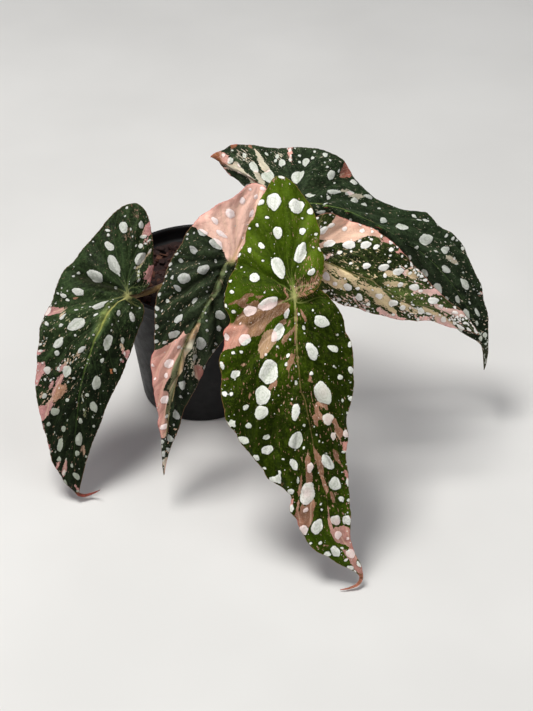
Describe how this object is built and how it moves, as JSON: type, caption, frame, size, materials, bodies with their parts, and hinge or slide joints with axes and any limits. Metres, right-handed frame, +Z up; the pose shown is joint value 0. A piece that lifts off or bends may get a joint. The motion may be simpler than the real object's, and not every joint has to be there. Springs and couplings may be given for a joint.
{
  "type": "potted polka dot begonia",
  "caption": "Young cane begonia in a small round nursery pot, with long wing-shaped leaves spotted white and variegated pink that arch out over the rim to the table.",
  "frame": {"origin": "centre of the flat underside of the nursery pot, where it rests on the table", "axes": "+Z up along the pot's axis, -Y towards the side that most leaves reach over, +X to the right seen from there"},
  "size_m": [0.2635, 0.2343, 0.1796],
  "materials": {
    "pot_plastic": "satin black, thin wall",
    "bark_mix": "rough, damp bark and coconut chips",
    "cane_skin": "smooth plant stem, green with brown nodes",
    "bud_skin": "soft young growth",
    "stalk_skin": "smooth, slightly glossy",
    "dark_leaf": "satin, deep green with white spots above, wine red below",
    "bright_leaf": "satin, mid green with white spots above, wine red below",
    "pink_leaf": "satin, cream, pink and green flecks above, wine red below"
  },
  "bodies": {
    "root": {"nursery_pot": "pot_plastic", "potting_mix": "bark_mix", "cane": "cane_skin", "shoot_tip": "bud_skin", "leaf_stalk_1": "stalk_skin", "leaf_stalk_2": "stalk_skin", "leaf_stalk_3": "stalk_skin", "leaf_stalk_4": "stalk_skin", "leaf_stalk_5": "stalk_skin", "leaf_blade_1": "dark_leaf", "leaf_blade_2": "dark_leaf", "leaf_blade_3": "bright_leaf", "leaf_blade_4": "dark_leaf", "leaf_blade_5": "pink_leaf"}
  },
  "joints": []
}
